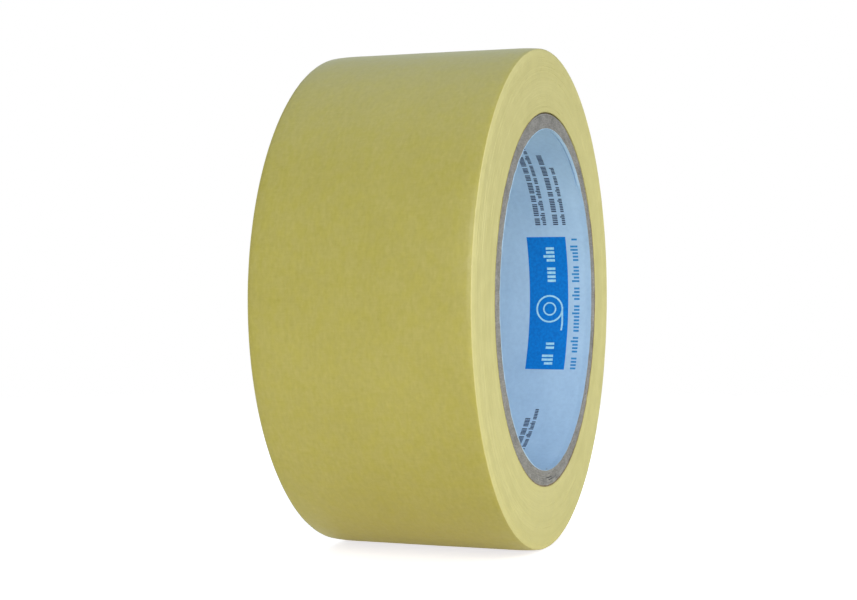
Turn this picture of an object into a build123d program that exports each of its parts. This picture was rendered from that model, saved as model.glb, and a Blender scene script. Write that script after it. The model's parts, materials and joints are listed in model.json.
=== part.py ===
from build123d import *
import math
import os

# A roll of crepe paper masking tape on a spirally wound paperboard core.
# The roll's axis is Y and its centre is the origin. The roll stands on its rim, with +Z up.
# Angles are in degrees about the axis, from +X towards +Z. All sizes are in millimetres.

# Roll
TAPE_WIDTH = 48.0
ROLL_RADIUS = 55.5  # at the tip of the tape

# Core, from the bore outwards
BORE_RADIUS = 38.0
LINER_THICKNESS = 0.12
BOARD_PLIES = 6
BOARD_THICKNESS = 0.5
OUTER_PLY_THICKNESS = 0.28

# Each ply is a strip wound in a helix, and its edges meet in a butt seam.
SEAM_LEAD = 109.0  # travel along the axis in one turn
SEAM_GAP = 0.25
LINER_SEAM_ANGLE = 120.0  # where the seam meets the -Y end
PLY_SEAM_ANGLE = 272.0
PLY_SEAM_STEP = 137.5  # from each ply's seam to the next one's
OUTER_PLY_SEAM_ANGLE = 205.0

# How far the solids that cut a gap or a hollow run past what they cut
SEAM_OVERRUN = 6.0  # along the axis, past each end
SEAM_MARGIN = 0.3  # inside and outside the strip
HOLLOW_OVERRUN = 1.0  # along the axis, past each end

# Tape: crepe paper with adhesive on its inner side
BACKING_THICKNESS = 0.09
ADHESIVE_THICKNESS = 0.04
TAPE_THICKNESS = BACKING_THICKNESS + ADHESIVE_THICKNESS

# The start of the tape, on the core, where the second turn climbs over it
START_ANGLE = 150.0
START_RAMP = 4.0

# The roll's own weight presses the wound tape flat where it stands.
STAND_ANGLE = 270.0
STAND_HALF_ANGLE = 3.75  # which makes a flat 7.3 mm wide and 0.12 mm deep

# The free end of the tape, on the upper part of the +X side
TIP_ANGLE = 20.0
TAB_ANGLE = 30.0
TAB_LIFT = 0.03  # clearance under it
ROOT_GAP = 0.06  # clearance at its root, from the rest of the last turn

CORE_RADIUS = (BORE_RADIUS + LINER_THICKNESS + BOARD_PLIES * BOARD_THICKNESS
               + OUTER_PLY_THICKNESS)
ROOT_ANGLE = TIP_ANGLE + TAB_ANGLE

# The wound tape is a spiral, drawn as half turns about two centres on the line through the tip.
CENTRE_SHIFT = TAPE_THICKNESS / 4
TIP_CENTRE = CENTRE_SHIFT
FAR_CENTRE = -CENTRE_SHIFT
TIP_HALF_RADIUS = ROLL_RADIUS - CENTRE_SHIFT
FAR_HALF_RADIUS = ROLL_RADIUS - 3 * CENTRE_SHIFT


def at(radius, angle, shift=0.0):
    """The point in the XZ plane at a radius and angle about a centre shifted towards the tip."""
    x = radius * math.cos(math.radians(angle)) + shift * math.cos(math.radians(TIP_ANGLE))
    z = radius * math.sin(math.radians(angle)) + shift * math.sin(math.radians(TIP_ANGLE))
    return Vector(x, 0, z)


def arc(radius, first, last, shift=0.0):
    """An arc from one angle to another about a centre shifted towards the tip."""
    middle = (first + last) / 2
    return ThreePointArc(at(radius, first, shift), at(radius, middle, shift),
                         at(radius, last, shift))


def spiral(depth, first=TIP_ANGLE):
    """One turn of the spiral, at a depth below the roll's surface, from an angle back to the tip's."""
    half = TIP_ANGLE + 180
    radius = FAR_HALF_RADIUS - depth
    before = arc(radius, half, STAND_ANGLE - STAND_HALF_ANGLE, FAR_CENTRE)
    after = arc(radius, STAND_ANGLE + STAND_HALF_ANGLE, half + 180, FAR_CENTRE)
    return [arc(TIP_HALF_RADIUS - depth, first, half, TIP_CENTRE),
            before, Line(before @ 1, after @ 0), after]


def extruded(edges, width=TAPE_WIDTH):
    """A closed outline in the XZ plane, extruded along the axis to both sides of the centre."""
    face = Face(Wire(edges))
    return extrude(face, amount=width / 2, dir=(0, 1, 0), both=True)


def closed(outer, inner):
    """The outline between two runs of edges that go the same way round."""
    first = Line(outer[0] @ 0, inner[0] @ 0)
    last = Line(outer[-1] @ 1, inner[-1] @ 1)
    return [*outer, last, *inner, first]


def tube(inner_radius, outer_radius):
    """A round tube along the axis."""
    axis_plane = Plane(origin=(0, TAPE_WIDTH / 2, 0), x_dir=(1, 0, 0), z_dir=(0, -1, 0))
    ring = axis_plane * (Circle(outer_radius) - Circle(inner_radius))
    return extrude(ring, amount=TAPE_WIDTH)


def seam(inner_radius, outer_radius, angle):
    """The helical gap between the edges of a wound strip, standing proud of the strip on every side."""
    middle = (inner_radius + outer_radius) / 2
    depth = outer_radius - inner_radius + 2 * SEAM_MARGIN
    helix = Helix(pitch=SEAM_LEAD, height=TAPE_WIDTH + 2 * SEAM_OVERRUN, radius=middle)
    start = Plane(origin=helix @ 0, x_dir=(1, 0, 0), z_dir=helix % 0)
    gap = sweep(start * Rectangle(depth, SEAM_GAP), path=helix, is_frenet=True)
    lead_in = 360 * SEAM_OVERRUN / SEAM_LEAD
    upright = Plane(origin=(0, -TAPE_WIDTH / 2 - SEAM_OVERRUN, 0), x_dir=(1, 0, 0), z_dir=(0, 1, 0))
    return upright * Rotation(0, 0, -angle - lead_in) * gap


def ply(inner_radius, thickness, angle):
    """One ply of the core: a tube cut by its own butt seam."""
    outer_radius = inner_radius + thickness
    return tube(inner_radius, outer_radius) - seam(inner_radius, outer_radius, angle)


def core():
    """The plies of the core, from the printed liner outwards."""
    parts = {"core_liner": ply(BORE_RADIUS, LINER_THICKNESS, LINER_SEAM_ANGLE)}
    radius = BORE_RADIUS + LINER_THICKNESS
    for number in range(BOARD_PLIES):
        angle = PLY_SEAM_ANGLE + number * PLY_SEAM_STEP
        parts[f"core_ply_{number + 1}"] = ply(radius, BOARD_THICKNESS, angle)
        radius += BOARD_THICKNESS
    parts["core_outer_ply"] = ply(radius, OUTER_PLY_THICKNESS, OUTER_PLY_SEAM_ANGLE)
    return parts


def first_turn_layer(inner_depth, outer_depth):
    """A layer of the first turn, from the start of the tape round to the ramp, by height above the core."""
    last = START_ANGLE + 360
    first = START_ANGLE + START_RAMP
    outer = [arc(CORE_RADIUS + outer_depth, first, last)]
    inner = [arc(CORE_RADIUS + inner_depth, first, last)]
    return extruded(closed(outer, inner))


def winding():
    """All the turns between the first and the last, with a step at the tip and a ramp over the start."""
    step = [Line(at(FAR_HALF_RADIUS - TAPE_THICKNESS, TIP_ANGLE + 360, FAR_CENTRE),
                 at(TIP_HALF_RADIUS - TAPE_THICKNESS, TIP_ANGLE, TIP_CENTRE))]
    outside = extruded(spiral(TAPE_THICKNESS) + step)
    first = START_ANGLE + START_RAMP
    over = CORE_RADIUS + TAPE_THICKNESS
    ramp = [arc(over, first, START_ANGLE + 360),
            Line(at(over, START_ANGLE), at(CORE_RADIUS, first)),
            Line(at(CORE_RADIUS, first), at(over, first))]
    return outside - extruded(ramp, TAPE_WIDTH + 2 * HOLLOW_OVERRUN)


def outer_turn_layer(inner_depth, outer_depth):
    """A layer of the last turn, from the tab's root back to the step, by depth below the surface."""
    outer = spiral(outer_depth, ROOT_ANGLE)
    inner = spiral(inner_depth, ROOT_ANGLE)
    return extruded(closed(outer, inner))


def tab_layer(inner_depth, outer_depth):
    """A layer of the free end, from the tip to its root, lifted just clear of the turn below."""
    root = ROOT_ANGLE - math.degrees(ROOT_GAP / ROLL_RADIUS)
    outer = [arc(TIP_HALF_RADIUS + TAB_LIFT - outer_depth, TIP_ANGLE, root, TIP_CENTRE)]
    inner = [arc(TIP_HALF_RADIUS + TAB_LIFT - inner_depth, TIP_ANGLE, root, TIP_CENTRE)]
    return extruded(closed(outer, inner))


def tape():
    """The strip of tape: its first turn, its winding, its last turn and its free end."""
    return {
        "first_turn_adhesive": first_turn_layer(0, ADHESIVE_THICKNESS),
        "first_turn_backing": first_turn_layer(ADHESIVE_THICKNESS, TAPE_THICKNESS),
        "tape_winding": winding(),
        "outer_turn_adhesive": outer_turn_layer(TAPE_THICKNESS, BACKING_THICKNESS),
        "outer_turn_backing": outer_turn_layer(BACKING_THICKNESS, 0),
        "tape_end_adhesive": tab_layer(TAPE_THICKNESS, BACKING_THICKNESS),
        "tape_end_backing": tab_layer(BACKING_THICKNESS, 0),
    }


def main():
    os.makedirs("parts", exist_ok=True)
    for name, shape in {**core(), **tape()}.items():
        export_step(shape, f"parts/{name}.step")


main()
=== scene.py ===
import json
import math

import bpy
import numpy as np
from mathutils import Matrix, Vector


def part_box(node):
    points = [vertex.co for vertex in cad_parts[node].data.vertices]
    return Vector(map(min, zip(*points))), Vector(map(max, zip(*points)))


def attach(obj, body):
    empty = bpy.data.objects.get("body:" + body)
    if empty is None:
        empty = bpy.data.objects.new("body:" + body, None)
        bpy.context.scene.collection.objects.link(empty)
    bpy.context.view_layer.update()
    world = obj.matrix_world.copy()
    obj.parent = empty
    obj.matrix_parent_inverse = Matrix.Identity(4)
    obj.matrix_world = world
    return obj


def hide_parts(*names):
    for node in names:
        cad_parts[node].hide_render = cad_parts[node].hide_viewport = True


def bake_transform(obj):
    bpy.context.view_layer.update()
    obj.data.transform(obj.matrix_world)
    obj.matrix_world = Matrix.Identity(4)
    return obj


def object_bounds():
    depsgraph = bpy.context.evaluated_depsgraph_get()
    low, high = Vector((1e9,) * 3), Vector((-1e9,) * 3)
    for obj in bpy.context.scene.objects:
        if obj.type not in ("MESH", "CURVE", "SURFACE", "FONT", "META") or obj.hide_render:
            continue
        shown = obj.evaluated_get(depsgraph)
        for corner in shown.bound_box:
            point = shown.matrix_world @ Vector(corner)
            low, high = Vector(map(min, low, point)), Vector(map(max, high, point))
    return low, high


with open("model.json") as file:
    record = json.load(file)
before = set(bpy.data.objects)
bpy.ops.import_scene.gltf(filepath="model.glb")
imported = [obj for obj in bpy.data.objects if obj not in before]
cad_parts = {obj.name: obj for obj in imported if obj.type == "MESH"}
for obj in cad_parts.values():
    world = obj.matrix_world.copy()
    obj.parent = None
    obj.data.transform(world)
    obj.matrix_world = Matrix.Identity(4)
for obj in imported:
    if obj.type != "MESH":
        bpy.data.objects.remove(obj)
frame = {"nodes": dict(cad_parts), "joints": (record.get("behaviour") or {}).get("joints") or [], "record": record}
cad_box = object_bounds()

# A roll of masking tape standing on its rim. Lengths are in metres. Angles are in degrees about
# the roll's axis, Y, from +X towards +Z. A turn is measured back along the tape from its tip.
MM = 0.001

# Sizes that the frame gives
RECORD = frame["record"]
PEEL = next(joint for joint in frame["joints"] if joint["name"] == "tape_end_peel")
BORE = next(mount for mount in RECORD["mounts"] if mount["name"] == "core_bore")
ROOT_X, ROOT_Z = PEEL["pos_m"][0], PEEL["pos_m"][2]
ROLL_RADIUS = math.hypot(ROOT_X, ROOT_Z)
ROOT_ANGLE = math.degrees(math.atan2(ROOT_Z, ROOT_X))
HALF_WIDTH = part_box("tape_winding")[1][1]
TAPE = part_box("outer_turn_backing")[1][2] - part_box("tape_winding")[1][2]
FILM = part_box("outer_turn_adhesive")[1][2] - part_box("tape_winding")[1][2]
PAPER = TAPE - FILM
TIP_ANGLE = math.degrees(math.asin(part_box("tape_end_backing")[0][2] / (ROLL_RADIUS - PAPER)))
CORE_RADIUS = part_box("core_outer_ply")[1][2]
BORE_RADIUS = BORE["dims"]["r_mm"] * MM
LINER_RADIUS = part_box("core_liner")[1][2]
BOARD_NODES = sorted(node for node in frame["nodes"] if node.startswith("core_ply_"))


# Meshes

def soft_noise(seed, shape, spread):
    """Random heights of unit spread, smoothed over so many steps along each axis. They wrap round."""
    waves = np.fft.fft2(np.random.default_rng(seed).standard_normal(shape))
    for axis, steps in enumerate(spread):
        damping = np.exp(-2 * (math.pi * steps * np.fft.fftfreq(shape[axis])) ** 2)
        waves *= damping.reshape((-1, 1) if axis == 0 else (1, -1))
    field = np.fft.ifft2(waves).real
    return field / field.std()


def around(radius, angle, y):
    """Points at a radius and angle about the roll's axis."""
    turn = np.radians(angle)
    return np.stack(np.broadcast_arrays(radius * np.cos(turn), y, radius * np.sin(turn)), -1)


def volume_of(points, faces):
    """The signed volume that the faces enclose."""
    total = 0.0
    by_corners = {}
    for face in faces:
        by_corners.setdefault(len(face), []).append(face)
    for corners, group in by_corners.items():
        index = np.array(group)
        first = points[index[:, 0]]
        for k in range(1, corners - 1):
            cross = np.cross(points[index[:, k]], points[index[:, k + 1]])
            total += float((first * cross).sum())
    return total / 6


def piece(name, points, faces, material, body="roll", place=None, sharp=40.0):
    """A mesh object with outward faces and smooth shading, riding on a body if one is named."""
    points = np.asarray(points, float).reshape(-1, 3)
    mesh = bpy.data.meshes.new(name)
    mesh.from_pydata(points.tolist(), [], faces)
    if volume_of(points, faces) < 0:
        mesh.flip_normals()
    mesh.shade_smooth()
    mesh.set_sharp_from_angle(angle=math.radians(sharp))
    place = points if place is None else place
    attribute = mesh.attributes.new("place", "FLOAT_VECTOR", "POINT")
    attribute.data.foreach_set("vector", np.asarray(place, np.float32).ravel())
    mesh.materials.append(material)
    made = bpy.data.objects.new(name, mesh)
    bpy.context.scene.collection.objects.link(made)
    if body:
        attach(made, body)
    return made


def loops_to_faces(columns, corners, closed):
    """Quads between successive loops of so many points, with end faces unless the loops close up."""
    first = np.arange(columns if closed else columns - 1)[:, None] * corners
    second = (first + corners) % (columns * corners)
    here = np.arange(corners)[None, :]
    there = (here + 1) % corners
    quads = np.stack([first + here, first + there, second + there, second + here], -1)
    faces = quads.reshape(-1, 4).tolist()
    if not closed:
        faces.append(list(range(corners))[::-1])
        faces.append([(columns - 1) * corners + k for k in range(corners)])
    return faces


# Materials

def rgb(red, green, blue):
    """A colour in linear light from one on a screen's scale of 0 to 255."""
    def linear(value):
        value /= 255
        return value / 12.92 if value <= 0.04045 else ((value + 0.055) / 1.055) ** 2.4
    return (linear(red), linear(green), linear(blue), 1.0)


class Recipe:
    """A material's node tree with a Principled surface, built up node by node."""

    def __init__(self, name, **surface):
        self.material = bpy.data.materials.new(name)
        self.material.use_nodes = True
        self.tree = self.material.node_tree
        self.tree.nodes.clear()
        self.surface = self.add("ShaderNodeBsdfPrincipled", **surface)
        output = self.add("ShaderNodeOutputMaterial")
        self.join(self.surface, "BSDF", output, "Surface")

    def add(self, kind, settings=(), **inputs):
        """A node with its settings and input values. An input is named, or numbered as in i0.

        An input's value may be another node's output.
        """
        node = self.tree.nodes.new(kind)
        for key, value in dict(settings).items():
            setattr(node, key, value)
        for key, value in inputs.items():
            numbered = key[1:].isdigit()
            socket = node.inputs[int(key[1:]) if numbered else key.replace("_", " ")]
            if isinstance(value, bpy.types.NodeSocket):
                self.tree.links.new(value, socket)
            else:
                socket.default_value = value
        return node

    def join(self, source, output, target, socket):
        self.tree.links.new(source.outputs[output], target.inputs[socket])

    def place(self, scale):
        """Coordinates from the mesh's own place attribute, stretched by a scale along each axis."""
        source = self.add("ShaderNodeAttribute", {"attribute_name": "place"})
        stretched = self.add("ShaderNodeVectorMath", {"operation": "MULTIPLY"},
                             i0=source.outputs["Vector"], i1=scale)
        return stretched.outputs["Vector"]

    def noise(self, where, scale=1.0, detail=3.0, roughness=0.55):
        """Cloudy noise from 0 to 1."""
        node = self.add("ShaderNodeTexNoise", Vector=where, Scale=scale, Detail=detail,
                        Roughness=roughness)
        return node.outputs["Fac"]

    def ramp(self, value, *stops):
        """A colour ramp through (position, colour) stops."""
        node = self.add("ShaderNodeValToRGB", Fac=value)
        elements = node.color_ramp.elements
        while len(elements) < len(stops):
            elements.new(0.5)
        for element, (position, colour) in zip(elements, stops):
            element.position = position
            element.color = colour
        return node.outputs["Color"]

    def spread(self, value, low, high, to_low, to_high):
        """A value taken from one range to another, held at the ends."""
        node = self.add("ShaderNodeMapRange", Value=value, From_Min=low, From_Max=high,
                        To_Min=to_low, To_Max=to_high)
        return node.outputs["Result"]

    def sum(self, *terms):
        """The weighted sum of (value, weight) terms."""
        total = None
        for value, weight in terms:
            scaled = self.add("ShaderNodeMath", {"operation": "MULTIPLY"}, i0=value, i1=weight)
            if total is None:
                total = scaled.outputs[0]
            else:
                joined = self.add("ShaderNodeMath", {"operation": "ADD"}, i0=total,
                                  i1=scaled.outputs[0])
                total = joined.outputs[0]
        return total

    def mix(self, factor, first, second, kind="MIX"):
        """Two colours mixed by a factor."""
        node = self.add("ShaderNodeMix", {"data_type": "RGBA", "blend_type": kind},
                        i0=factor, i6=first, i7=second)
        return node.outputs[2]

    def bumps(self, height, distance, strength=1.0):
        """Small relief in the surface, of a height of 0 to 1 times a distance."""
        bump = self.add("ShaderNodeBump", Height=height, Distance=distance, Strength=strength)
        self.join(bump, "Normal", self.surface, "Normal")

    def colour(self, value):
        self.tree.links.new(value, self.surface.inputs["Base Color"])

    def roughness(self, value):
        self.tree.links.new(value, self.surface.inputs["Roughness"])


def crepe_paper(name="crepe_paper"):
    """Yellow crepe paper with a release coat: wrinkles across it, fibres along it, uneven saturant."""
    made = Recipe(name, IOR=1.5, Specular_IOR_Level=0.5, Sheen_Weight=0.12, Sheen_Roughness=0.35,
                  Sheen_Tint=(0.80, 0.90, 1.0, 1))
    fibres = made.noise(made.place((900, 1700, 900)), detail=2.0)
    wrinkles = made.noise(made.place((3000, 450, 600)), detail=4.0, roughness=0.6)
    cloth = made.noise(made.place((900, 900, 900)), detail=2.0)
    blotches = made.noise(made.place((120, 110, 120)), detail=5.0)
    bands = made.noise(made.place((16, 60, 40)), detail=2.0)
    threads = made.noise(made.place((430, 1150, 400)), detail=3.0)
    saturant = made.noise(made.place((300, 420, 300)), detail=2.0)
    tone = made.sum((wrinkles, 0.16), (threads, 0.24), (fibres, 0.16), (cloth, 0.20), (blotches, 0.13),
                    (bands, 0.11))
    face = made.ramp(tone, (0.36, rgb(167, 158, 79)), (0.50, rgb(175, 166, 88)),
                     (0.64, rgb(183, 174, 97)))
    yellower = made.spread(saturant, 0.40, 0.66, 0.0, 1.0)
    made.colour(made.mix(yellower, face, (1.0, 1.0, 0.82, 1), "MULTIPLY"))
    made.roughness(made.spread(made.sum((wrinkles, 0.6), (blotches, 0.4)), 0.3, 0.7, 0.30, 0.42))
    made.bumps(made.sum((wrinkles, 0.55), (threads, 0.35), (fibres, 0.2), (cloth, 0.1)), 0.034 * MM)
    return made.material


def adhesive_film():
    """The tacky side of the tape: pale amber rubber over the back of the crepe paper."""
    made = Recipe("adhesive_film", IOR=1.5, Specular_IOR_Level=0.5, Coat_Weight=0.25,
                  Coat_Roughness=0.18)
    ripples = made.noise(made.place((1300, 240, 400)), detail=3.0)
    streaks = made.noise(made.place((60, 700, 200)), detail=3.0)
    tone = made.sum((ripples, 0.6), (streaks, 0.4))
    made.colour(made.ramp(tone, (0.38, rgb(196, 184, 112)), (0.62, rgb(216, 206, 140))))
    made.roughness(made.spread(streaks, 0.3, 0.7, 0.26, 0.42))
    made.bumps(ripples, 0.05 * MM)
    return made.material


def tape_edges():
    """The slit ends of the turns, paler than the tape's face, with a thin amber line between turns."""
    made = Recipe("tape_edges", Specular_IOR_Level=0.3)
    depth = made.add("ShaderNodeAttribute", {"attribute_name": "groove"})
    turn_tone = made.noise(made.place((0, 0, 1.7)), detail=4.0, roughness=0.7)
    slow_tone = made.noise(made.place((12, 12, 0.05)), detail=3.0)
    smear = made.noise(made.place((260, 260, 0)), detail=4.0)
    tone = made.sum((turn_tone, 0.34), (slow_tone, 0.30), (smear, 0.36))
    face = made.ramp(tone, (0.38, rgb(204, 198, 137)), (0.50, rgb(210, 204, 144)),
                     (0.62, rgb(216, 210, 151)))
    groove = made.spread(depth.outputs["Fac"], 0.0, 1.0, 0.0, 0.22)
    made.colour(made.mix(groove, face, rgb(186, 172, 90)))
    made.roughness(made.spread(smear, 0.3, 0.7, 0.55, 0.75))
    made.bumps(made.sum((smear, 0.7), (turn_tone, 0.5)), 0.02 * MM)
    return made.material


def paperboard(name, dark, middle, light):
    """Recycled board at a cut edge: short grey and brown fibres and specks."""
    made = Recipe(name, Specular_IOR_Level=0.2, Roughness=0.9)
    grain = made.noise(made.place((900, 900, 3500)), detail=5.0, roughness=0.65)
    patches = made.noise(made.place((260, 260, 400)), detail=4.0)
    specks = made.noise(made.place((2400, 2400, 2400)), detail=2.0)
    tone = made.sum((grain, 0.5), (patches, 0.35), (specks, 0.15))
    face = made.ramp(tone, (0.36, dark), (0.5, middle), (0.64, light))
    flecks = made.spread(specks, 0.66, 0.74, 0.0, 0.7)
    made.colour(made.mix(flecks, face, rgb(92, 84, 84)))
    made.bumps(made.sum((grain, 0.7), (specks, 0.4)), 0.09 * MM)
    return made.material


def liner_paper():
    """Light blue printed paper, slightly uneven in tone, with the board's texture showing through."""
    made = Recipe("liner_paper", Specular_IOR_Level=0.35)
    fibres = made.noise(made.place((900, 900, 900)), detail=4.0)
    clouds = made.noise(made.place((70, 110, 90)), detail=4.0)
    tone = made.sum((fibres, 0.4), (clouds, 0.6))
    made.colour(made.ramp(tone, (0.36, rgb(168, 198, 227)), (0.5, rgb(176, 206, 234)),
                          (0.64, rgb(184, 213, 240))))
    made.roughness(made.spread(clouds, 0.3, 0.7, 0.48, 0.62))
    made.bumps(made.sum((fibres, 0.5), (clouds, 0.5)), 0.05 * MM)
    return made.material


def ink(name, dark, light):
    """Flat printing ink, a little worn where the paper's fibres show through."""
    made = Recipe(name, Specular_IOR_Level=0.2)
    fibres = made.noise(made.place((1500, 1500, 1500)), detail=4.0)
    made.colour(made.ramp(fibres, (0.35, dark), (0.65, light)))
    made.roughness(made.spread(fibres, 0.3, 0.7, 0.40, 0.55))
    made.bumps(fibres, 0.02 * MM)
    return made.material


# The wound tape

EDGE_FALL = 0.75 * MM  # how far the outer edges of the roll are crushed in, along the axis
EDGE_DEPTH = 2.2 * MM  # how deep into the roll that reaches
EDGE_SHARPNESS = 0.995  # below 1, so that the crushed edge never stands quite upright
EDGE_DIP = 0.34 * MM  # how far the surface dips towards those edges
EDGE_DIP_WIDTH = 6.5 * MM
TIP_EASE = 335.0  # the turn where the surface starts to rise to the height of the tip
STAND_HEIGHT = -cad_box[0][2]
STAND_SINE = 0.5  # the sine of the slope above which the floor doesn't press the roll
PRESS_DEPTH = 2.0 * MM  # how far in the turns still feel the flat that the roll stands on
COVERED = 360 + 38.0  # where the turn under the free end stops
PEEL_TURN = ROOT_ANGLE - TIP_ANGLE  # the free end's length, as a turn

COLUMN = 0.3  # degrees of turn between the columns of a layer's mesh
ROWS = 61  # across the tape
ALL_ROWS = np.arange(ROWS)
NEAR_ROWS = np.array([0, 1, 2, 3, 5, 8])
FEW_ROWS = np.concatenate([NEAR_ROWS, ROWS - 1 - NEAR_ROWS[::-1]])  # for the sides that don't show
RELIEF_SHAPE = (1600, ROWS)
RELIEF_HEIGHTS = (0.0035 * MM, 0.003 * MM, 0.010 * MM)  # of the wrinkles, the lumps and the swells
TAB_LIFTS = (0.03 * MM, 0.10 * MM, 0.35 * MM)  # of the whole free end, its tip, and the tip's far corner
RAGGED_SLIT = 0.012 * MM

TURN_STEPS = 216  # steps in each turn of the wound end face
FIRST_TURN_RADIUS = CORE_RADIUS + TAPE
TAPE_START = 150.0  # the angle of the start of the tape, on the core
START_RAMP = 4.0  # the angle that the second turn takes to climb over it
START_FADE = 12  # the number of turns over which that ramp spreads round the whole roll
WANDER = (0.009 * MM, 0.004 * MM)  # how far the turns wander along the axis, slowly and turn by turn
RAGGED_CREST = 0.006 * MM
VALLEY = 0.035 * MM  # depth of the groove between one turn and the next


def spiral_radius(turns):
    """The radius of the tape's outer side, so many degrees of turn back from its tip."""
    return ROLL_RADIUS - TAPE * turns / 360


def outermost(turns):
    """The radius of the roll's surface at a place on the tape, eased up to the tip's height at the tip."""
    return ROLL_RADIUS - TAPE * np.interp(turns % 360, (0, TIP_EASE, 360), (0, TIP_EASE / 360, 0))


def edge_at(radius, turns):
    """How far from the middle of the roll its end lies at a radius: its outer edge is crushed round."""
    rise = np.clip(1 - (outermost(turns) - radius) / EDGE_DEPTH, 0, 1)
    return HALF_WIDTH - EDGE_FALL * (1 - np.sqrt(1 - EDGE_SHARPNESS * rise ** 2))


def on_tape(radius, turns, y):
    """Points on the tape, pressed in where the roll stands and along its edges, less so further in."""
    down = np.maximum(-np.sin(np.radians(TIP_ANGLE + turns)), STAND_SINE)
    surface = spiral_radius(turns % 360)
    pressed = np.maximum(surface - STAND_HEIGHT / down, 0)
    edge = np.clip(1 - (HALF_WIDTH - np.abs(y)) / EDGE_DIP_WIDTH, 0, 1)
    pressed = np.maximum(pressed, EDGE_DIP * edge ** 3)
    points = around(radius - pressed * np.exp((radius - surface) / PRESS_DEPTH), TIP_ANGLE + turns, y)
    points[..., 2] = np.maximum(points[..., 2], -STAND_HEIGHT)
    return points


def crepe_relief():
    """Heights over the tape: sharp wrinkles across it, soft lumps, and slow swells."""
    wrinkles = 0.8 - np.abs(soft_noise(11, RELIEF_SHAPE, (0.55, 0.9)))
    lumps = soft_noise(12, RELIEF_SHAPE, (2.8, 1.0))
    swells = soft_noise(13, RELIEF_SHAPE, (18.0, 5.0))
    return sum(height * field for height, field in zip(RELIEF_HEIGHTS, (wrinkles, lumps, swells)))


RELIEF = crepe_relief()


def flat_lift(turns, share):
    """No lift: the layer lies on the roll."""
    return np.zeros(np.broadcast(turns, share).shape)


def tab_lift(turns, share):
    """How far the free end stands off the roll: barely at its root, more at its tip and at one corner."""
    reach = np.clip(1 - turns / PEEL_TURN, 0, 1)
    whole, tip, corner = TAB_LIFTS
    return whole + tip * reach ** 3 + corner * reach ** 6 * (0.5 + 0.5 * share) ** 2


def layer(name, first, last, top, bottom, material, body="roll", radius=spiral_radius, lift=flat_lift,
          above=ALL_ROWS, below=FEW_ROWS, relief=1.0):
    """A layer of the tape between two turns, and between two depths below the tape's outer side."""
    columns = int(round((last - first) / COLUMN)) + 1
    turns = np.linspace(first, last, columns)[:, None]
    heights = relief * RELIEF[np.round(turns[:, 0] / COLUMN).astype(int) % RELIEF_SHAPE[0]]
    ragged = RAGGED_SLIT * soft_noise(len(name), (columns, 2), (1.0, 0.01))

    def side(rows, depth):
        share = 2 * rows[None, :] / (ROWS - 1) - 1
        flat = radius(turns) - depth
        frayed = ragged[:, :1] * (share < 0) + ragged[:, 1:] * (share > 0)
        return on_tape(flat + heights[:, rows] + lift(turns, share), turns,
                       share * edge_at(flat, turns) + frayed)

    loops = np.concatenate([side(above, top), side(below[::-1], bottom)], 1)
    along = np.broadcast_to(np.radians(turns) * ROLL_RADIUS, loops.shape[:2])
    place = np.stack([along, loops[:, :, 1], np.full(loops.shape[:2], -top)], -1)
    faces = loops_to_faces(columns, loops.shape[1], closed=False)
    return piece(name, loops, faces, material, body, place)


def last_turn(paper, film):
    """The outermost turn, down to where the free end covers the turn below."""
    made = layer("last_turn_paper", PEEL_TURN, COVERED, 0, PAPER, paper)
    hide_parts("outer_turn_backing")
    glue = layer("last_turn_adhesive", PEEL_TURN, COVERED, PAPER, TAPE, film, above=FEW_ROWS)
    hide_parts("outer_turn_adhesive")


def free_end(paper, film):
    """The end of the tape, which peels off the roll from its root."""
    made = layer("tape_end_paper", 0, PEEL_TURN, 0, PAPER, paper, body=None, lift=tab_lift,
                 below=ALL_ROWS)
    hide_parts("tape_end_backing")
    glue = layer("tape_end_adhesive_film", 0, PEEL_TURN, PAPER, TAPE, film, body=None, lift=tab_lift,
                 below=ALL_ROWS)
    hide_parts("tape_end_adhesive")
    for free in (made, glue):
        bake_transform(free)


WOUND_TURNS = int((spiral_radius(COVERED) - FIRST_TURN_RADIUS) / TAPE)
STARTED = COVERED + WOUND_TURNS * 360 + (TAPE_START - TIP_ANGLE - COVERED) % 360 - 360


def wound_radius(turns):
    """The radius of the tape's outer side in the winding, which climbs over the start of the tape."""
    above = (STARTED - turns) / 360
    ramp = np.minimum(START_RAMP / 360 + above / START_FADE, 1)
    climb = np.floor(above) + np.clip((above % 1 - 1 + ramp) / ramp, 0, 1)
    pitch = (spiral_radius(COVERED) - FIRST_TURN_RADIUS) / ((STARTED - COVERED) / 360)
    return FIRST_TURN_RADIUS + pitch * climb


def wound_end(side):
    """One end of the winding: its valleys between turns, then its crests, and where each point is."""
    steps = int((STARTED - COVERED) * TURN_STEPS / 360)
    turns = COVERED + np.arange(steps + 1) * 360 / TURN_STEPS
    seed = 40 if side < 0 else 50
    wander = soft_noise(seed, (steps + 1, 1), (150.0, 0.01))[:, 0]
    by_turn = soft_noise(seed + 1, (steps + 1, 1), (40.0, 0.01))[:, 0]
    ragged = soft_noise(seed + 2, (steps + 1, 1), (0.8, 0.01))[:, 0]
    valley_radius = wound_radius(turns)
    crests = slice(0, steps + 1 - TURN_STEPS)
    crest_radius = (valley_radius[crests] + valley_radius[TURN_STEPS:]) / 2
    level = WANDER[0] * wander + WANDER[1] * by_turn
    valley = edge_at(valley_radius, turns) + level - VALLEY
    crest = edge_at(crest_radius, turns[crests]) + level[crests] + RAGGED_CREST * ragged[crests]
    points = np.concatenate([on_tape(valley_radius, turns, side * valley),
                             on_tape(crest_radius, turns[crests], side * crest)])
    number = np.concatenate([turns, turns[crests] + 180]) / 360
    groove = np.concatenate([np.ones(len(turns)), np.zeros(len(crest))])
    return points, np.stack([points[:, 0], points[:, 2], number], -1), groove, len(turns)


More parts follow.
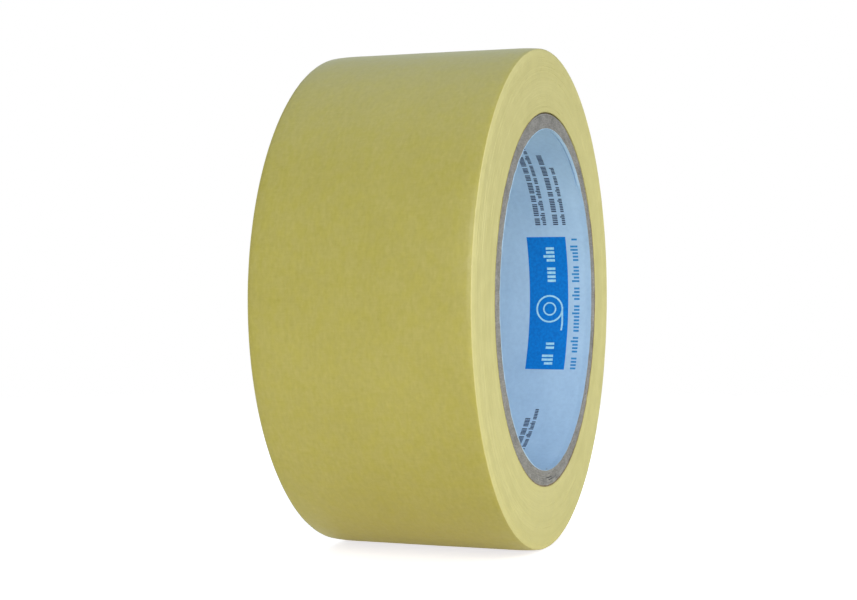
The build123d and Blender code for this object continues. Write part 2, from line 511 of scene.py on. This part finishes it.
def outer_wall():
    """Lines of points across the outside of the winding, one for each step of its last turn."""
    turns = COVERED + np.append(np.arange(TURN_STEPS + 1), 0) * 360 / TURN_STEPS
    radius = wound_radius(turns)
    radius[-1] = (radius[0] + radius[-2]) / 2
    share = 2 * FEW_ROWS[1:-1] / (ROWS - 1) - 1
    return on_tape(radius[:, None], turns[:, None], share * HALF_WIDTH)


def winding():
    """All the turns between the first and the last, as one spiral groove on each end face."""
    near, near_place, groove, valleys = wound_end(-1)
    far, far_place, _, _ = wound_end(1)
    crests = len(near) - valleys
    n = np.arange(crests - 1)
    outer = np.stack([n, n + 1, valleys + n + 1, valleys + n], -1)
    inner = np.stack([valleys + n, valleys + n + 1, n + TURN_STEPS + 1, n + TURN_STEPS], -1)
    sheet = np.concatenate([outer, inner])
    faces = sheet.tolist() + (sheet[:, ::-1] + len(near)).tolist()
    across = outer_wall()
    between = 2 * len(near) + np.arange(across.shape[0] * across.shape[1]).reshape(across.shape[:2])
    outside = [*range(TURN_STEPS + 1), valleys]
    inside = [*range(valleys - TURN_STEPS - 1, valleys), len(near) - 1]
    outside = [[here, *line, here + len(near)] for here, line in zip(outside, between.tolist())]
    inside = [[here + len(near), here] for here in inside]
    for lines in (outside, inside):
        for line, after in zip(lines, lines[1:] + lines[:1]):
            faces += [list(corners) for corners in zip(line, line[1:], after[1:], after)]
    points = np.concatenate([near, far, across.reshape(-1, 3)])
    wall_place = across[..., [0, 2, 1]].reshape(-1, 3) * (1, 1, 0)
    made = piece("wound_tape", points, faces, tape_edges(),
                 place=np.concatenate([near_place, far_place, wall_place]), sharp=70.0)
    attribute = made.data.attributes.new("groove", "FLOAT", "POINT")
    grooves = np.concatenate([groove, groove, np.zeros(len(wall_place))])
    attribute.data.foreach_set("value", grooves.astype(np.float32))
    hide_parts("tape_winding")


def first_turn(film):
    """The start of the tape on the core, one turn round."""
    def on_core(turns):
        return np.full(np.shape(turns), FIRST_TURN_RADIUS)
    last = STARTED - START_RAMP
    for node, top, bottom, material, slot in (
            ("first_turn_backing", 0, PAPER, crepe_paper("inner_crepe_paper"), "tape_backing"),
            ("first_turn_adhesive", PAPER, TAPE, film, "adhesive")):
        made = layer(node + "_layer", last - 360 + START_RAMP, last, top, bottom, material,
                     radius=on_core, above=ALL_ROWS[::ROWS // 2], below=ALL_ROWS[::ROWS - 1], relief=0)
        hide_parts(node)


# The core

END_STEPS = 480  # columns round each ply
LEAN = 360 / (109.0 * MM)  # how far a seam turns with each metre along the axis
SEAM_GAP = 0.25 * MM
LINER_SEAM, PLY_SEAM, OUTER_PLY_SEAM = 120.0, 272.0, 205.0  # angles of the seams at the near end
PLY_SEAM_STEP = 137.5
NOTCH = 1.2 * MM  # how deep the end of a ply's seam has frayed open
ROUND_OFF = 0.07 * MM  # how far the edges of a ply's cut end fall away
CUT_DEPTH, CUT_FIBRES, CUT_SWELL = 0.045 * MM, 0.030 * MM, 0.020 * MM  # relief of the cut ends
CRACKS = {2: (266.5, 272.0), 3: (270.0, 277.5)}  # where plies have come apart, by ply and angles
CRACK_DEPTH, CRACK_EASE = 0.8 * MM, 1.2
CRACK_START = 0.7  # how far across its ply a crack starts
RECESS = (38.0, 102.0)  # where the outer ply stops short of the near end
RECESS_DEPTH, RECESS_EASE = 0.55 * MM, 14.0
BURR = 0.22 * MM  # how far the cut has pushed the bore's edge inwards at each end
BURR_DEPTH = 1.5 * MM


def burr(depth):
    """How far inwards the bore's wall is bent at a depth from the near end."""
    from_end = np.minimum(depth, 2 * HALF_WIDTH - depth)
    return BURR * np.clip(1 - from_end / BURR_DEPTH, 0, 1)


def ply_profile(inner, outer, lip):
    """A ply's section as points of radius, side (-1 near, 1 far) and depth in from that end."""
    across = np.linspace(0, 1, 5)
    fall = ROUND_OFF * np.abs(2 * across - 1) ** 3
    radii = inner - lip + (outer - inner + lip) * across
    near = [(radius, -1, fall_in) for radius, fall_in in zip(radii, fall)]
    outside = [(outer, -1, BURR_DEPTH), (outer, 0, 0), (outer, 1, BURR_DEPTH)]
    far = [(radius, 1, fall_in) for radius, fall_in in zip(radii[::-1], fall[::-1])]
    inside = [(inner, 1, BURR_DEPTH), (inner, 0, 0), (inner, -1, BURR_DEPTH)]
    return np.array(near + outside + far + inside)


def within(angles, low, high, ease):
    """1 between two angles, easing to 0 outside them."""
    middle = (low + high) / 2
    away = np.abs((angles - middle + 180) % 360 - 180) - (high - low) / 2
    return np.clip(1 - away / ease, 0, 1) ** 2


def board_ply(name, node, seam, material, seed, recess=None):
    """One ply of the core: a ring with fibrous cut ends, and a notch at each end of its seam."""
    inner = inner_radius(node)
    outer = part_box(node)[1][2]
    half_gap = math.degrees(SEAM_GAP / 2 / outer)
    far_seam = seam - LEAN * 2 * HALF_WIDTH
    cuts = [at + off * half_gap for at in (seam, far_seam) for off in (-1.15, -1, 1, 1.15)]
    even = np.linspace(0, 360, END_STEPS, endpoint=False)
    angles = np.unique(np.concatenate([even, np.mod(cuts, 360)]))
    section = ply_profile(inner, outer, BURR if node == BOARD_NODES[0] else 0)
    end = (section[:, 1] != 0) & (section[:, 2] < MM)
    fibres = soft_noise(seed, (len(angles), len(section)), (1.2, 0.5))
    swell = soft_noise(seed + 1, (len(angles), len(section)), (14.0, 2.0))
    depth = section[None, :, 2] + end * (CUT_DEPTH + CUT_FIBRES * fibres + CUT_SWELL * swell)
    for at, side in ((seam, -1), (far_seam, 1)):
        notch = within(angles, at - half_gap, at + half_gap, 0.15 * half_gap)[:, None]
        depth = depth + NOTCH * notch * (end & (section[:, 1] == side))
    if recess is not None:
        across = (section[:, 0] - inner) / (outer - inner)
        depth = depth + recess(angles[:, None], across) * (end & (section[:, 1] == -1))
    depth = np.maximum(depth, 0)
    y = section[None, :, 1] * (HALF_WIDTH - depth)
    points = around(section[None, :, 0], angles[:, None], y)
    made = piece(name, points, loops_to_faces(len(angles), len(section), closed=True), material)
    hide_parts(node)
    return made


def inner_radius(node):
    """The inner radius of a ply: the outer radius of the one inside it, or of the liner."""
    order = ["core_liner", *BOARD_NODES, "core_outer_ply"]
    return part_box(order[order.index(node) - 1])[1][2]


def crack(low, high):
    """A split that has opened along the outer side of a ply, between two angles."""
    def depth(angles, across):
        return CRACK_DEPTH * within(angles, low, high, CRACK_EASE) * (across > CRACK_START)
    return depth


def sunk(angles, across):
    """The stretch where the outer ply stops short of the near end."""
    return RECESS_DEPTH * within(angles, *RECESS, RECESS_EASE) * np.ones_like(across)


def board():
    """The grey board plies and the kraft ply outside them."""
    grey = paperboard("grey_board", rgb(116, 115, 115), rgb(140, 139, 138), rgb(160, 159, 157))
    kraft = paperboard("kraft_board", rgb(112, 96, 78), rgb(134, 117, 96), rgb(152, 136, 115))
    for number, node in enumerate(BOARD_NODES):
        seam = PLY_SEAM + PLY_SEAM_STEP * number
        cracked = crack(*CRACKS[number]) if number in CRACKS else None
        board_ply(f"board_ply_{number + 1}", node, seam, grey, 60 + 2 * number, cracked)
    board_ply("kraft_ply", "core_outer_ply", OUTER_PLY_SEAM, kraft, 80, sunk)


LINER_COLUMNS = 360
CREASE, CREASE_EASE = (47.0, 82.0), 9.0  # where the near edge of the liner is crushed
# The crushed edge's section: depths from the near end, and how far outwards the paper is pushed, in mm
CREASE_DEPTHS = (0, 0.6, 0.68, 0.88, 1.0, 2.4)
CREASE_LIP = (-0.05, -0.32, 0.10, 0.10, -0.14, 0)
FRAY = 0.03 * MM
SWELL_HEIGHT = 0.006 * MM
SWELL_LEAN, SWELL_PHASE = 90.0, 9.0  # at most: radians with each metre of depth, and radians
SWELLS = np.random.default_rng(90).uniform(-1, 1, (9, 3))  # lean, phase and size of each slow wave


def liner_surface(angles, depth):
    """The radius of the printed liner's face at an angle and a depth from the near end."""
    turn = np.radians(angles)
    height = np.zeros(np.broadcast(angles, depth).shape)
    for waves, (lean, phase, size) in enumerate(SWELLS, 3):
        height += size * np.sin(waves * turn + SWELL_LEAN * lean * depth + SWELL_PHASE * phase)
    lip = MM * np.interp(depth / MM, CREASE_DEPTHS, CREASE_LIP)
    crushed = within(angles, *CREASE, CREASE_EASE) * lip
    return BORE_RADIUS - burr(depth) + SWELL_HEIGHT * height + crushed


def liner():
    """The printed paper that lines the core: a strip wound in a helix, whose edges meet in a seam."""
    width = 2 * HALF_WIDTH / MM
    crease_lines = [0.02, 0.12, 0.3, 0.45, 0.6, 0.68, 0.78, 0.88, 1.0, 1.15, 1.35]
    even_lines = np.arange(1.6, width - 0.6, 0.6)
    far_lines = [width - 0.4, width - 0.1, width - 0.02]
    inside = MM * np.concatenate([crease_lines, even_lines, far_lines])
    outside = MM * np.linspace(width - 0.1, 0.1, 41)
    depth = np.concatenate([inside, outside])[None, :]
    half_gap = math.degrees(SEAM_GAP / 2 / BORE_RADIUS)
    turned = np.linspace(half_gap, 360 - half_gap, LINER_COLUMNS)[:, None]
    angles = LINER_SEAM - LEAN * depth + turned
    radius = liner_surface(angles, depth)
    radius[:, len(inside):] = LINER_RADIUS - burr(outside)
    frayed = FRAY * soft_noise(92, (LINER_COLUMNS, 1), (1.2, 0.01))
    y = -HALF_WIDTH + depth + np.abs(frayed) * (depth < 0.3 * MM)
    points = around(radius, angles, y)
    place = np.stack([np.radians(angles) * BORE_RADIUS, np.broadcast_to(depth, angles.shape),
                      np.zeros(angles.shape)], -1)
    made = piece("printed_liner", points, loops_to_faces(LINER_COLUMNS, depth.size, closed=False),
                 liner_paper(), place=place)
    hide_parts("core_liner")


# The print on the liner: a panel with a plain roll mark, and bars in place of all lettering

INK = 0.02 * MM  # how far the ink stands proud of the paper
# Places are angles from the middle of one repeat of the print, and depths from the near end in mm
PANEL = (-27.2, 23.2, 5.9, 15.7)
PANEL_ROWS = ((-25.3, -15.0), (6.0, 21.2))  # the angles between which light dashes stand on the panel
PANEL_ROW_DEPTHS = (9.0, 11.8)
MARK_ANGLE, MARK_DEPTH = -4.0, 10.6  # the middle of the roll mark on the panel
MARK_ROLL, MARK_CORE = (3.2, 0.42), (1.5, 0.36)  # the radius and line width of its two circles, in mm
MARK_TURN = (-80, 265)  # the angles between which the roll's circle is drawn
MARK_TAIL = ((0.8, -3.2), (-5.5, -3.3), (-8.0, -3.1))  # the free end of its tape
LINE = (-27.0, 24.2, 3.05, 4.9)  # the blue row of dashes
SMALL_ROW_START = 28.0
# The small rows: the angle each ends at, its two depths, and its share of tall dashes
SMALL_ROWS = ((131.3, 11.75, 13.0, 1.0), (136.0, 10.25, 11.4, 0.2),
              (62.5, 7.25, 8.5, 1.0), (56.0, 5.4, 6.5, 0.2))
LOW_DASH = 0.74  # the height of a low dash, as a share of a tall one's
WORD_LENGTHS = (3, 9)  # from, and up to but not including, so many dashes
WORD_SPACE = 1.1  # as a share of the pitch
REPEATS = ((0, 0), (180, 0), (90, 24), (270, 24))  # the angle of each repeat, and how much deeper it lies


class Print:
    """Patches of one ink on the liner, gathered into one piece."""

    def __init__(self, name, material, layer=1):
        self.name, self.material, self.proud = name, material, layer * INK
        self.points, self.faces = [], []

    def ribbon(self, left, right):
        """A patch between two lines of (angle, depth in mm) points."""
        rows = []
        for side in (left, right):
            line = np.array(side, float)
            face = liner_surface(line[:, 0], line[:, 1] * MM)
            for radius in (face - self.proud, face + INK):
                rows.append(around(radius, line[:, 0], -HALF_WIDTH + line[:, 1] * MM))
        loops = np.stack([rows[0], rows[2], rows[3], rows[1]], 1)
        start = sum(len(group) for group in self.points)
        self.points.append(loops.reshape(-1, 3))
        faces = loops_to_faces(len(loops), 4, closed=False)
        order = -1 if volume_of(loops.reshape(-1, 3), faces) < 0 else 1
        self.faces += [[start + corner for corner in face[::order]] for face in faces]

    def bar(self, first, last, low, high):
        """A patch between two angles and two depths."""
        steps = max(2, int(abs(last - first)) + 2)
        angles = np.linspace(first, last, steps)
        self.ribbon([(angle, low) for angle in angles], [(angle, high) for angle in angles])

    def stroke(self, line, width):
        """A line of one width through (angle, depth in mm) points, drawn on the curved paper."""
        flat = np.array(line, float)
        flat[:, 0] = np.radians(flat[:, 0]) * BORE_RADIUS / MM
        along = np.gradient(flat, axis=0)
        along /= np.linalg.norm(along, axis=1)[:, None]
        off = np.stack([-along[:, 1], along[:, 0]], -1) * width / 2
        sides = [flat + off, flat - off]
        for side in sides:
            side[:, 0] = np.degrees(side[:, 0] * MM / BORE_RADIUS)
        self.ribbon(*sides)

    def words(self, first, last, low, high, seed, pitch, tall=0.3, bold=0.55):
        """Upright dashes of uneven height, in word-like groups, in place of lettering.

        The pitch of the dashes is in mm, and their boldness is a share of it.
        """
        draw = np.random.default_rng(seed)
        step = math.degrees(pitch * MM / BORE_RADIUS)
        at = first
        while at < last - step:
            for _ in range(draw.integers(*WORD_LENGTHS)):
                if at > last - step:
                    break
                top = high if draw.random() < tall else low + LOW_DASH * (high - low)
                self.bar(at, at + bold * step, low, top)
                at += step
            at += WORD_SPACE * step

    def make(self):
        made = piece(self.name, np.concatenate(self.points), self.faces, self.material)


def circle(centre, depth, radius, first=0.0, last=360.0):
    """Points of a circle on the liner, as (angle, depth in mm)."""
    turn = np.radians(np.linspace(first, last, 40))
    scale = math.degrees(MM / BORE_RADIUS)
    return [(centre + scale * radius * math.cos(t), depth + radius * math.sin(t)) for t in turn]


def print_label(inks, angle, depth, seed):
    """One repeat of the print, at an angle and a depth."""
    panel, light, line, dark = inks
    first, last, low, high = PANEL
    panel.bar(angle + first, angle + last, depth + low, depth + high)
    mark, mark_depth = angle + MARK_ANGLE, depth + MARK_DEPTH
    (roll, roll_line), (core, core_line) = MARK_ROLL, MARK_CORE
    light.stroke(circle(mark, mark_depth, roll, *MARK_TURN), roll_line)
    light.stroke(circle(mark, mark_depth, core), core_line)
    light.stroke([(mark + along, mark_depth + across) for along, across in MARK_TAIL], roll_line)
    for number, (first, last) in enumerate(PANEL_ROWS):
        low, high = PANEL_ROW_DEPTHS
        light.words(angle + first, angle + last, depth + low, depth + high, seed + number,
                    pitch=1.0, bold=0.62)
    first, last, low, high = LINE
    line.words(angle + first, angle + last, depth + low, depth + high, seed + 2, pitch=0.86, bold=0.56)
    for row, (last, low, high, tall) in enumerate(SMALL_ROWS):
        dark.words(angle + SMALL_ROW_START, angle + last, depth + low, depth + high, seed + 3 + row,
                   pitch=0.5, tall=tall, bold=0.64)


def printing():
    """The four repeats of the print round the liner."""
    blue = ink("blue_ink", rgb(0, 114, 204), rgb(0, 130, 220))
    light = ink("light_ink", rgb(150, 212, 240), rgb(184, 230, 248))
    mid_blue = ink("mid_blue_ink", rgb(40, 130, 200), rgb(70, 150, 210))
    navy = ink("navy_ink", rgb(34, 44, 72), rgb(60, 72, 104))
    inks = (Print("print_panel", blue), Print("print_light_marks", light, layer=2),
            Print("print_blue_line", mid_blue), Print("print_small_rows", navy))
    for number, (angle, depth) in enumerate(REPEATS):
        print_label(inks, angle, depth, 200 + 20 * number)
    for one in inks:
        one.make()


paper, film = crepe_paper(), adhesive_film()
last_turn(paper, film)
free_end(paper, film)
winding()
first_turn(film)
board()
liner()
printing()


# Floor, light and camera

CENTRE = (Vector(cad_box[0]) + Vector(cad_box[1])) / 2
FLOOR_FADE = (0.16, 0.55)  # distances from the roll between which the floor fades out
FLOOR_GAP = 0.02 * MM  # keeps the floor's face apart from the roll's flat
FLOOR_BOUNCE = (0.25, 0.22, 0.105, 1)  # the warm light that the floor throws up at the roll
FLOOR_SEEN = (0.63, 0.64, 0.73, 1)  # the glow that makes the floor white to the camera
AMBIENT = 0.32
WARM = (0.95, 0.90, 0.80, 1)
COOL = (0.80, 0.92, 1.0, 1)


def floor():
    """A round pale floor under the roll. It fades out into the white backdrop, and has no underside."""
    corners = 96
    turn = np.linspace(0, 2 * math.pi, corners, endpoint=False)
    rim = np.stack([np.cos(turn), np.sin(turn), 0 * turn], -1) * FLOOR_FADE[1]
    mesh = bpy.data.meshes.new("floor")
    mesh.from_pydata(rim.tolist(), [], [list(range(corners))])
    made = bpy.data.objects.new("floor", mesh)
    bpy.context.scene.collection.objects.link(made)
    made.location.z = cad_box[0][2] - FLOOR_GAP
    surface = Recipe("floor_white", Roughness=0.9, Specular_IOR_Level=0.1, Emission_Strength=1.0)
    rays = surface.add("ShaderNodeLightPath")
    glow = surface.mix(rays.outputs["Is Camera Ray"], FLOOR_BOUNCE, FLOOR_SEEN)
    surface.tree.links.new(glow, surface.surface.inputs["Emission Color"])
    where = surface.add("ShaderNodeTexCoord").outputs["Object"]
    tone = surface.noise(where, scale=2.0)
    surface.colour(surface.ramp(tone, (0.3, (0.80, 0.78, 0.74, 1)), (0.7, (0.84, 0.82, 0.78, 1))))
    away = surface.add("ShaderNodeVectorMath", {"operation": "LENGTH"}, i0=where)
    fade = surface.add("ShaderNodeMapRange", {"interpolation_type": "SMOOTHSTEP"},
                       Value=away.outputs["Value"], From_Min=FLOOR_FADE[0], From_Max=FLOOR_FADE[1],
                       To_Min=1.0, To_Max=0.0)
    under = surface.add("ShaderNodeNewGeometry").outputs["Backfacing"]
    shown = surface.add("ShaderNodeMath", {"operation": "SUBTRACT", "use_clamp": True},
                        i0=fade.outputs["Result"], i1=under)
    surface.tree.links.new(shown.outputs[0], surface.surface.inputs["Alpha"])
    mesh.materials.append(surface.material)


def backdrop():
    """A studio that is white to the camera and lights the roll softly: cool above, warm below."""
    world = bpy.data.worlds.new("studio")
    bpy.context.scene.world = world
    world.use_nodes = True
    tree = world.node_tree
    tree.nodes.clear()
    where = tree.nodes.new("ShaderNodeTexCoord")
    split = tree.nodes.new("ShaderNodeSeparateXYZ")
    tree.links.new(where.outputs["Generated"], split.inputs[0])
    height = tree.nodes.new("ShaderNodeMapRange")
    height.inputs["From Min"].default_value = -1.0
    tree.links.new(split.outputs["Z"], height.inputs["Value"])
    sky = tree.nodes.new("ShaderNodeValToRGB")
    sky.color_ramp.elements[0].color = WARM
    sky.color_ramp.elements[1].color = COOL
    tree.links.new(height.outputs["Result"], sky.inputs["Fac"])
    light = tree.nodes.new("ShaderNodeBackground")
    light.inputs["Strength"].default_value = AMBIENT
    tree.links.new(sky.outputs["Color"], light.inputs["Color"])
    seen = tree.nodes.new("ShaderNodeBackground")
    seen.inputs["Color"].default_value = (1, 1, 1, 1)
    rays = tree.nodes.new("ShaderNodeLightPath")
    mix = tree.nodes.new("ShaderNodeMixShader")
    output = tree.nodes.new("ShaderNodeOutputWorld")
    tree.links.new(rays.outputs["Is Camera Ray"], mix.inputs["Fac"])
    tree.links.new(light.outputs[0], mix.inputs[1])
    tree.links.new(seen.outputs[0], mix.inputs[2])
    tree.links.new(mix.outputs[0], output.inputs["Surface"])


def softbox(name, place, size, power, colour=(1, 1, 1), glossy=True):
    """A square light at a place, aimed at the roll, which leaves no reflection unless it is glossy."""
    lamp = bpy.data.lights.new(name, "AREA")
    lamp.size = size
    lamp.energy = power
    lamp.color = colour
    made = bpy.data.objects.new(name, lamp)
    bpy.context.scene.collection.objects.link(made)
    made.visible_glossy = glossy
    made.location = place
    made.rotation_euler = (CENTRE - Vector(place)).to_track_quat("-Z", "Y").to_euler()


def camera():
    """A long lens at the height of the roll, off to the side of its near end."""
    azimuth, elevation, distance = math.radians(-70.33), math.radians(0.54), 0.370
    aside, above = -0.0045, -0.00018  # how far the camera stands off the line to the roll's middle
    back = Vector((math.sin(azimuth) * math.cos(elevation), -math.cos(azimuth) * math.cos(elevation),
                   math.sin(elevation)))
    right = (-back).cross(Vector((0, 0, 1))).normalized()
    up = right.cross(-back)
    lens = bpy.data.cameras.new("camera")
    lens.sensor_width = 36.0
    lens.lens = 68.37
    lens.clip_start = 0.01
    made = bpy.data.objects.new("camera", lens)
    bpy.context.scene.collection.objects.link(made)
    made.location = back * distance + right * aside + up * above
    made.rotation_euler = back.to_track_quat("Z", "Y").to_euler()
    bpy.context.scene.camera = made


floor()
backdrop()
softbox("front_light", (-1.45, -0.55, 0.50), 1.5, 17.8)
softbox("near_end_light", (-0.2, -1.6, 0.45), 1.2, 11)
softbox("top_light", (0.1, 0.3, 1.6), 1.4, 3.5, (0.85, 0.93, 1.0))
softbox("far_side_light", (1.4, 0.75, 0.3), 1.2, 7, glossy=False)
softbox("far_end_light", (0.3, 1.6, 0.2), 1.2, 4, glossy=False)
softbox("back_light", (1.4, 0.4, 0.9), 1.6, 2.6, (0.75, 0.88, 1.0))
camera()
bpy.context.scene.view_settings.view_transform = "Standard"
